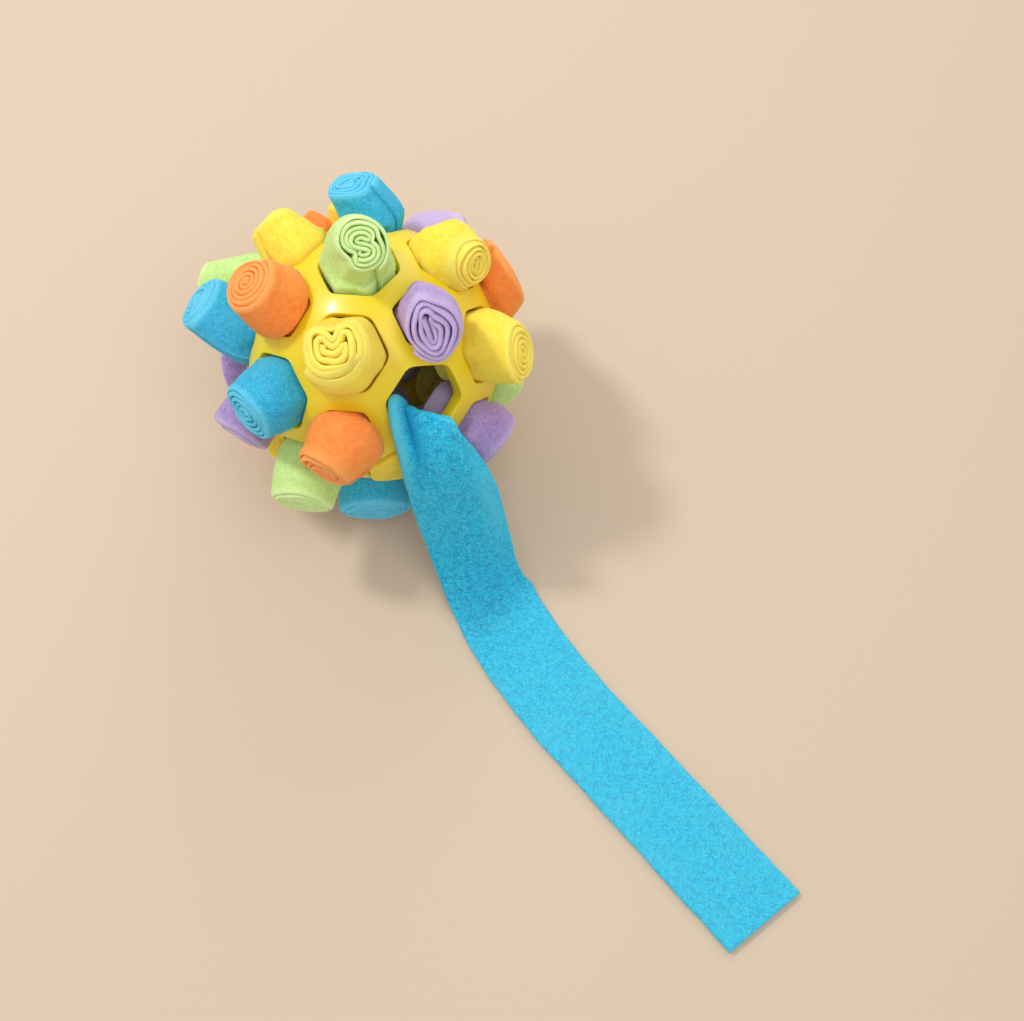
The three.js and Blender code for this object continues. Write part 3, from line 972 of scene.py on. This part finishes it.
# %% [markdown]
# ## The rolls, one by one
#
# Each row says which hole, which fleece, how far the roll stands out, how it
# leans to its hole's east and north, how thick it is, the size of its end,
# how far its core is pushed out, and how it is wound: the core, the hand it
# turns in, its angle in the photo, and the distance between turns. Lengths
# are in millimetres, and thickness and end are shares of a free roll.

# %% The table of rolls
COLUMNS = (
    "name", "hole", "fleece", "out", "east", "north", "girth", "end", "proud",
    "core", "hand", "turned", "pitch",
)
ROLLS = [
    ("front_yellow", (0, 1, 2), "yellow", 19.5, -1, 3.2, 1.0, 0.86, 0, "heart", -1, 0, 2.5),
    ("upper_green", (0, 1, 7), "green", 23.5, -3.5, 16, 0.86, 0.69, 0, "s_fold", -1, 20, 2.5),
    ("right_yellow_high", (0, 5, 7), "yellow", 12, -16.5, 5.5, 0.98, 0.68, 0, "crumpled", 1, 120, 2.5),
    ("right_yellow_low", (0, 5, 6), "yellow", 18.5, -5.5, 0, 0.94, 0.8, 1, "plain", 1, 60, 2.5),
    ("left_blue_low", (1, 2, 8), "blue", 16.5, 1, -3.5, 0.94, 0.84, 0, "crumpled", -1, 220, 2.5),
    ("back_yellow_left", (1, 3, 7), "yellow", 16.5, 0, -5, 0.85, 0.66, 0, "plain", 1, 20, 2.5),
    ("left_blue_high", (1, 3, 8), "blue", 23, -6.5, 2, 0.94, 0.8, 1, "plain", -1, 200, 2.2),
    ("front_green_low", (2, 4, 8), "green", 19.5, 6, 2, 0.9, 0.79, 0, "doubled", 1, 180, 2.5),
    ("front_yellow_flush", (2, 4, 6), "yellow", 0.8, 0, 0, 1, 1.0, 0, "plain", 1, 0, 1.5),
    ("left_purple_back", (3, 8, 9), "purple", 17, 0.5, 1.5, 0.94, 1, 0, "plain", 1, 0, 2.5),
    ("left_yellow_under", (4, 8, 9), "yellow", 13.5, 4.5, 3, 0.94, 0.86, 0, "plain", 1, 0, 2.5),
    ("right_green_low", (5, 6, 10), "green", 6, 1, -5, 0.94, 0.8, 0, "plain", 1, 0, 2.5),
    ("back_lilac", (5, 7, 11), "purple", 10, -11.5, -5, 0.94, 0.85, 1, "doubled", 1, 0, 2.5),
    ("back_orange", (3, 7, 11), "orange", 13, 12, 2.5, 0.94, 0.66, 0, "plain", 1, 0, 3.2),
    ("back_yellow_top", (3, 7, 11), "yellow", 15, -1, 11, 0.94, 0.6, 0, "plain", 1, 0, 3.2),
    ("front_purple_under", (4, 6, 10), "purple", 11, 0, 2, 0.94, 0.9, 0, "plain", 1, 0, 2.5),
    ("floor_purple", (4, 9, 10), "purple", 20, 0, -3, 0.94, 1, 0, "plain", 1, 0, 2.5),
    ("floor_lilac", (9, 10, 11), "purple", 20, 0, 0, 0.94, 1, 0, "plain", 1, 0, 2.5),
    ("back_green_under", (5, 10, 11), "green", 18, 0, 1, 0.94, 1, 0, "doubled", -1, 40, 2.5),
    ("back_orange_under", (3, 9, 11), "orange", 17, 1, 2, 0.94, 0.95, 1, "plain", 1, 0, 2.5),
    ("right_purple_top", (0,), "purple", 16.5, -12.6, -0.3, 0.9, 0.89, 0, "doubled", -1, -62, 2.6),
    ("left_orange", (1,), "orange", 21.5, -3, 0.5, 0.97, 0.8, 1, "plain", 1, 150, 2.5),
    ("front_orange", (2,), "orange", 17.5, -7.5, -6, 1.12, 0.88, 0, "crumpled", 1, 0, 2.5),
    ("left_green_back", (3,), "green", 30, 17, -7.5, 0.94, 0.7, 0, "plain", 1, 0, 2.5),
    ("front_blue_low", (4,), "blue", 18, 2, 2.5, 0.94, 1.0, 0, "doubled", 1, 10, 2.5),
    ("right_orange", (5,), "orange", 14, 6.8, 4.5, 1.06, 1.12, 0, "plain", 1, 0, 2.5),
    ("right_purple_low", (6,), "purple", 13, 1, -7, 0.88, 0.84, 0, "doubled", 1, 0, 2.5),
    ("back_blue_top", (7,), "blue", 18, 10.5, 6, 0.86, 0.7, 0, "doubled", -1, 205, 2.5),
    ("left_purple_low", (8,), "purple", 13.5, 8, -2.5, 0.9, 0.94, 0, "plain", 1, 0, 2.5),
    ("floor_orange", (9,), "orange", 21, 0, 0, 0.94, 0.98, 0, "plain", 1, 0, 2.5),
    ("floor_yellow", (10,), "yellow", 25, 0, 0, 0.94, 0.98, 0, "plain", 1, 0, 2.5),
    ("back_yellow_under", (11,), "yellow", 18, 0, 1, 0.94, 1, 0, "plain", 1, 0, 2.5),
]
print(len(ROLLS), "rolls")

# %% [markdown]
# Most rolls share the same habits. Those that show in the photo have a few
# of their own: a roll that was wound tighter, a loose end that lies
# elsewhere, a rounder end, or a bend that starts later.

# %% Habits of single rolls
USUAL = {
    "wound": None,  # the radius it was wound to, if it isn't that of a free roll
    "lap": 250,  # where the strip's loose end lies, as an angle in the photo
    "dome": 1.2,  # how far the edge of its end falls away
    "spread": 2.6,  # the height at which it is fully out of its neck
    "late": 1.3,  # the power of the bend: a higher one bends it later
    "tilt": (0.8, 0.8),  # how far its end follows the lean, to the east and to the north
    "paler": 0,  # how much of its nap stands up and looks paler
    "aside": 0,  # the side it lies on where two rolls share a hole
}
HABITS = {
    "front_yellow": {"wound": 14.6, "lap": -160, "dome": 5.0, "spread": 1.5, "late": 1.9},
    "upper_green": {"wound": 13.6, "lap": -65, "spread": 3.5, "late": 1.9, "tilt": (0.8, 1.1)},
    "right_yellow_high": {"lap": -30, "dome": 2.0, "tilt": (1.0, 0.8)},
    "right_yellow_low": {"lap": -70, "tilt": (0.0, 0.8)},
    "left_blue_low": {"lap": 200, "tilt": (1.2, 1.3)},
    "left_blue_high": {"tilt": (0.8, 4.2)},
    "front_green_low": {"lap": -90},
    "back_lilac": {"lap": 60, "late": 2.2, "paler": 0.6},
    "back_orange": {"aside": 1},
    "back_yellow_top": {"aside": -1},
    "right_purple_top": {"lap": -125, "dome": 2.0, "late": 1.9},
    "left_orange": {"lap": 70, "spread": 1.7, "tilt": (0.3, 5.0)},
    "front_orange": {"lap": -45, "spread": 1.3, "late": 2.2, "tilt": (0.8, 1.25)},
    "front_blue_low": {"lap": -120, "tilt": (0.8, 3.8)},
    "right_orange": {"tilt": (0.2, 0.2)},
    "back_blue_top": {"lap": -35, "tilt": (0.3, 1.2)},
}
print(len(HABITS), "rolls have habits of their own")

# %% [markdown]
# Now every roll is wound flat, swept into cloth, pressed into its hole and
# dressed. Its colour is painted paler at the end, a painted highlight where
# the strip's edges catch the light, and paler inside the ball, painted light
# where the inner ends lie in shade.

# %% Winding them all
HALF_HOLE_RADIUS = 8.2
WOUND_LOOSER = 0.4
PAINTED_END_HIGHLIGHT = (1.6, 0.55)  # painted highlight at the end: how deep, and how much paler
PAINTED_LIGHT_INSIDE = (5, 8, 0.8)  # painted light inside the ball: how far from the inner end, over what height, and how much paler


def painted_roll_light(z, row, inside):
    """How much paler the colour is painted at each height from the roll's inner end: a painted highlight at
    the end, painted light inside the ball, and a roll's own paler tone.
    """
    depth, amount = PAINTED_END_HIGHLIGHT
    light = np.clip((z - inside - row["out"] + depth) / depth, 0, 1) * amount
    if row["out"] < FLUSH:
        light *= 0
    light += row["paler"]
    start, reach, amount = PAINTED_LIGHT_INSIDE
    return light + np.clip((inside - start - z) / reach, 0, 1) * amount


def wind_roll(row):
    size = FIVE_SIDED if len(row["hole"]) == 1 else SIX_SIDED
    inside = STRIP_WIDTH / MM - max(row["out"], STRIP_WIDTH / MM / 2)
    _, east, north, _ = hole_frame(row["hole"])
    bearing = math.degrees(math.atan2(north[0], east[0]))  # of the photo's right hand side
    radius = HALF_HOLE_RADIUS if row["aside"] else row["wound"] or size["free"] + WOUND_LOOSER
    turned, lap = row["turned"] + bearing, row["lap"] + bearing
    line = wound_line(row["core"], row["hand"], turned, row["pitch"], radius, row["seed"], lap)
    roll = new_mesh(
        "wound_" + row["name"],
        [(x * MM, y * MM, 0) for x, y in line],
        edges=[(k, k + 1) for k in range(len(line) - 1)],
    )
    section = section_object(inside + row["out"])
    winding.put_on(roll, Section=section, Fleece=FLEECE[row["fleece"]])
    made_plain(roll)
    bpy.data.objects.remove(section)
    mesh = roll.data
    points = np.array([v.co for v in mesh.vertices]) / MM
    way = np.zeros(len(mesh.vertices), dtype=np.float32)
    mesh.attributes["way_along"].data.foreach_get("value", way)
    placed = press_into_hole(points, way, row, size, inside)
    light = painted_roll_light(points[:, 2], row, inside).astype(np.float32)
    mesh.attributes.new("light", "FLOAT", "POINT").data.foreach_set("value", light)
    mesh.vertices.foreach_set("co", placed.ravel())
    mesh.update()
    smooth(roll)
    place(roll, "roll_" + row["name"], slot="fleece_" + row["fleece"])
    return roll


rolls = {}
for number, values in enumerate(ROLLS):
    row = dict(zip(COLUMNS, values))
    row = {**USUAL, **row, **HABITS.get(row["name"], {}), "seed": number + 1}
    rolls[row["name"]] = wind_roll(row)
print("faces in the rolls:", sum(len(r.data.polygons) for r in rolls.values()))

# %% [markdown]
# ## The strip that was pulled out
#
# It is the same cloth as the rolls: it comes out of its hole over the rim,
# hangs down the front of the ball and lies flat on the floor. It keeps a
# trace of how it was rolled. A table gives its two edges along the way, and
# a few soft troughs and ridges are laid on top, as a hand would find them.

# %% The strip's edges
STRIP_SECTIONS = [
    # left edge, right edge, rise at a quarter, half and three quarters
    ((13.5, -36, 98), (31, -41, 90), (-1, -2, -1)),
    ((10.5, -39, 105), (36, -46, 98), (-0.5, -1.2, -0.6)),
    ((11, -47.5, 101.5), (40.5, -51, 94.5), (-1, -1.5, -0.5)),
    ((13.5, -54.5, 87.5), (46.5, -54.5, 85.5), (1, 2, 2)),
    ((15, -60.5, 72), (53, -61.5, 72), (1.5, 2, 1.5)),
    ((19, -69.5, 45), (58, -69.5, 45), (1, 1.5, 1)),
    ((24.5, -80, 23.5), (62, -77, 17), (0.5, 1, 0.5)),
    ((29.5, -90, 9), (65.5, -80.5, 5.5), (0, 0.3, 0)),
    ((35, -101.5, 1.55), (69.5, -84, 1.55), (0, 0, 0)),
    ((43.6, -118, 1.55), (75.8, -95.8, 1.55), (0, 0, 0)),
    ((66.2, -150, 1.55), (97.6, -126, 1.55), (0, 0, 0)),
    ((108, -197.3, 1.55), (139, -172.5, 1.55), (0, 0, 0)),
    ((151.4, -246.3, 1.55), (182.6, -221.8, 1.55), (0, 0, 0)),
]
STEPS_ALONG = 200
STEPS_ACROSS = 30
UNDER_BALL = np.array([BALL_CENTRE[0], BALL_CENTRE[1], 0])  # the table counts from here
print(len(STRIP_SECTIONS), "sections")

# %% [markdown]
# A smooth line runs through each column of the table. The rows are then
# spread out again, evenly along the middle of the strip, so that its faces
# are all about as long.


# %% The strip's surface
def through_rows(table, places):
    """Smooth values between the rows of a table, at fractional row numbers."""
    k = np.clip(places.astype(int), 0, len(table) - 2)
    t = (places - k)[:, None]
    p1, p2 = table[k], table[k + 1]
    p0 = np.where((k > 0)[:, None], table[np.maximum(k - 1, 0)], 2 * p1 - p2)
    p3 = np.where((k < len(table) - 2)[:, None], table[np.minimum(k + 2, len(table) - 1)], 2 * p2 - p1)
    bend = (2 * p0 - 5 * p1 + 4 * p2 - p3) * t**2 + (3 * p1 - p0 - 3 * p2 + p3) * t**3
    return 0.5 * (2 * p1 + (p2 - p0) * t + bend)


def strip_surface():
    """The strip's left edge, right edge, rise and way along, at even steps."""
    table = np.array([left + right + rise for left, right, rise in STRIP_SECTIONS], float)
    path = through_rows(table, np.linspace(0, len(table) - 1, 1200))
    middle = (path[:, :3] + path[:, 3:6]) / 2
    length = np.concatenate([[0], np.cumsum(np.linalg.norm(np.diff(middle, axis=0), axis=1))])
    along = np.linspace(0, length[-1], STEPS_ALONG + 1)
    even = np.stack([np.interp(along, length, column) for column in path.T], axis=1)
    return even[:, :3], even[:, 3:6], even[:, 6:], along


left, right, rise, along = strip_surface()
print("the strip runs", round(float(along[-1])), "mm")

# %% [markdown]
# Folds are troughs and ridges with soft sides. Each has a place across the
# strip, which may wander, and a place along it. The same kind of table says
# where the colour is painted paler or darker: painted highlights on the ridge
# at the left edge and on the right side, which face the light, and painted
# shade in the trough beside the ridge.

# %% Folds
# height, place across, how it wanders with the way, width, place along in mm, length in mm
FOLDS = [
    (-2.2, 0.27, -1 / 500, 0.07, 20, 18),
    (1.8, 0.10, -1 / 900, 0.07, 24, 24),
    (0.7, 0.96, 0, 0.06, 26, 22),
    (-0.8, 0.86, 0, 0.05, 24, 18),
]
# painted light and shade: how much paler (above 0) or darker (below 0), place across, how it wanders, width,
# place along in mm, length in mm
PAINTED_LIGHT_AND_SHADE = [
    (0.9, 0.08, -1 / 900, 0.09, 22, 30),
    (-1.0, 0.28, -1 / 700, 0.12, 16, 22),
    (0.5, 0.90, 0, 0.12, 55, 35),
]
across_share = np.linspace(0, 1, STEPS_ACROSS + 1)
a, s = along[:, None], across_share[None, :]


def soft_bump(value, middle, width):
    return np.exp(-(((value - middle) / width) ** 2))


def bumps(table):
    total = np.zeros((len(along), len(across_share)))
    for height, across, wander, width, place_along, length in table:
        total += height * soft_bump(s, across + wander * a, width) * soft_bump(a, place_along, length)
    return total


def cloth_rise():
    """How far the cloth stands off the straight line between its edges."""
    stops = np.array([0, 0.25, 0.5, 0.75, 1.0])
    edge = np.zeros((len(rise), 1))
    hung = np.array([eased(across_share, stops, row) for row in np.hstack([edge, rise, edge])])
    off_ball = 1 - np.exp(-((a / 45) ** 2))
    wave = 0.5 * np.sin(a / 17 + 3 * s) * off_ball * np.clip((120 - a) / 120, 0, 1)
    ripple = 0.25 * np.sin(a / 9 + 7 * s + 1.0) * np.clip((150 - a) / 150, 0.25, 1) * (s * (1 - s) * 4)
    return hung + bumps(FOLDS) + wave + ripple


rises = cloth_rise()
print("the strip rises by up to", round(float(rises.max()), 1), "mm")

# %% [markdown]
# The cloth gets its thickness last: the surface is moved out to both sides
# along its normal, less at the cut edges, which are thinner and a little
# wavy, and the two sides are joined all round.


# %% The cloth
def cloth_sides():
    """The upper and the lower side of the cloth, as grids of points."""
    span = right - left
    ahead = np.gradient((left + right) / 2, axis=0)
    lift = -np.cross(span, ahead)
    lift /= np.linalg.norm(lift, axis=1)[:, None]
    grid = left[:, None, :] + span[:, None, :] * s[:, :, None] + lift[:, None, :] * rises[:, :, None]
    edge_wave = 0.14 * np.sin(along / 6.5) + 0.10 * np.sin(along / 2.9 + 1)
    side = span / np.linalg.norm(span, axis=1)[:, None]
    grid[:, 0] += side * edge_wave[:, None]
    grid[:, -1] += side * (0.8 * edge_wave[::-1])[:, None]
    normal = np.cross(np.gradient(grid, axis=0), np.gradient(grid, axis=1))
    normal /= np.linalg.norm(normal, axis=2)[:, :, None]
    thick = np.full(STEPS_ACROSS + 1, FLEECE_THICKNESS / MM / 2)
    thick[[0, -1]] *= 0.55
    return grid + normal * thick[None, :, None], grid - normal * thick[None, :, None]


def closed_sheet(sides):
    """Points and faces of a sheet from its two sides, with a wall all round."""
    rows, columns = sides[0].shape[:2]
    points = np.vstack([side.reshape(-1, 3) for side in sides])
    at = lambda side, k, m: side * rows * columns + k * columns + m
    last = columns - 1
    faces = []
    for k in range(rows - 1):
        for m in range(last):
            faces.append((at(0, k, m), at(0, k + 1, m), at(0, k + 1, m + 1), at(0, k, m + 1)))
            faces.append((at(1, k, m), at(1, k, m + 1), at(1, k + 1, m + 1), at(1, k + 1, m)))
        faces.append((at(0, k, 0), at(1, k, 0), at(1, k + 1, 0), at(0, k + 1, 0)))
        faces.append((at(0, k, last), at(0, k + 1, last), at(1, k + 1, last), at(1, k, last)))
    last = rows - 1
    for m in range(columns - 1):
        faces.append((at(0, 0, m), at(0, 0, m + 1), at(1, 0, m + 1), at(1, 0, m)))
        faces.append((at(0, last, m), at(1, last, m), at(1, last, m + 1), at(0, last, m + 1)))
    return points, faces


points, faces = closed_sheet(cloth_sides())
points[:, 2] = np.maximum(points[:, 2], 0.3)
pulled = new_mesh("pulled_cloth", points * MM + UNDER_BALL, faces)
smooth(pulled)
pulled.data.materials.append(FLEECE["strip"])
print("strip faces:", len(faces))

# %% [markdown]
# The part that lies flat is painted paler than the part that hangs, a painted
# light on the cloth that lies open on the floor.

# %% Painted light and shade on the strip
light = bumps(PAINTED_LIGHT_AND_SHADE)
# painted light: the flat part is painted paler than the hanging part
light += 0.32 * np.clip((a - 105) / 60, 0, 1) * (1 - 0.2 * soft_bump(s, 0.5, 0.3))
light = np.clip(light, -0.9, 0.9)
both_sides = np.concatenate([light.ravel(), light.ravel()]).astype(np.float32)
pulled.data.attributes.new("light", "FLOAT", "POINT").data.foreach_set("value", both_sides)
print("nap from", round(float(light.min()), 2), "to", round(float(light.max()), 2))

# %% [markdown]
# The strip is attached like the other pieces, and its solid in the frame is
# hidden.

place(pulled, "pulled_strip", slot="fleece_blue")

# %% [markdown]
# ## Floor, light and camera
#
# A plain pale floor, and light from a soft source high on the left, so that
# the ball's shadow falls to the right and towards the viewer. The camera
# looks down at the photo's angle.

# %% The floor
FLOOR_HALF = 2.0
corners = [(x * FLOOR_HALF, y * FLOOR_HALF, 0) for x, y in ((-1, -1), (1, -1), (1, 1), (-1, 1))]
floor = new_mesh("floor", corners, [(0, 1, 2, 3)])
floor_material = bpy.data.materials.new("pale floor")
floor_material.use_nodes = True
floor_shader = floor_material.node_tree.nodes["Principled BSDF"]
floor_shader.inputs["Base Color"].default_value = linear((0.81, 0.735, 0.65))
floor_shader.inputs["Roughness"].default_value = 0.7
floor.data.materials.append(floor_material)
print("floor set")

# %% [markdown]
# The window is small enough for a shadow with an edge. The other two lamps
# are broad and fill the shade, and so does the pale world around the scene.

# %% The lights
bpy.context.scene.view_settings.view_transform = "Standard"
LAMPS = [
    # name, place, size, watts, colour
    ("window", (-0.6, 0.3, 1.1), 0.18, 6.3, (1.0, 0.97, 0.93)),
    ("room", (0.35, -0.45, 1.4), 1.0, 5.5, (1.0, 0.98, 0.96)),
    ("back", (0.3, 1.1, 0.7), 0.8, 3.5, (0.95, 0.97, 1.0)),
]
AIM = Vector((0, 0, 0.05))
for name, spot, size, watts, colour in LAMPS:
    light = bpy.data.lights.new(name, "AREA")
    light.shape = "DISK"
    light.size = size
    light.energy = watts
    light.color = colour
    lamp = bpy.data.objects.new(name, light)
    lamp.location = spot
    lamp.rotation_euler = (AIM - Vector(spot)).to_track_quat("-Z", "Y").to_euler()
    bpy.context.scene.collection.objects.link(lamp)
world = bpy.data.worlds.new("soft room")
bpy.context.scene.world = world
world.use_nodes = True
sky = world.node_tree.nodes["Background"]
sky.inputs["Color"].default_value = (1.0, 0.97, 0.94, 1)
sky.inputs["Strength"].default_value = 0.66
print(len(LAMPS), "lamps set")

# %% [markdown]
# The camera's place and lens were found by fitting the holes of the ball and
# the edges of the strip to the photo.

# %% The camera
PHOTO_WIDTH = 1024
FOCAL_LENGTH = 1450  # in pixels of the photo
camera_data = bpy.data.cameras.new("camera")
camera_data.sensor_width = 36
camera_data.lens = FOCAL_LENGTH * camera_data.sensor_width / PHOTO_WIDTH
camera = bpy.data.objects.new("camera", camera_data)
camera.location = (0.058175, -0.27383, 0.6356)
camera.rotation_euler = (math.radians(20.9), 0, 0)
bpy.context.scene.collection.objects.link(camera)
bpy.context.scene.camera = camera
print("camera at", tuple(round(v, 3) for v in camera.location))
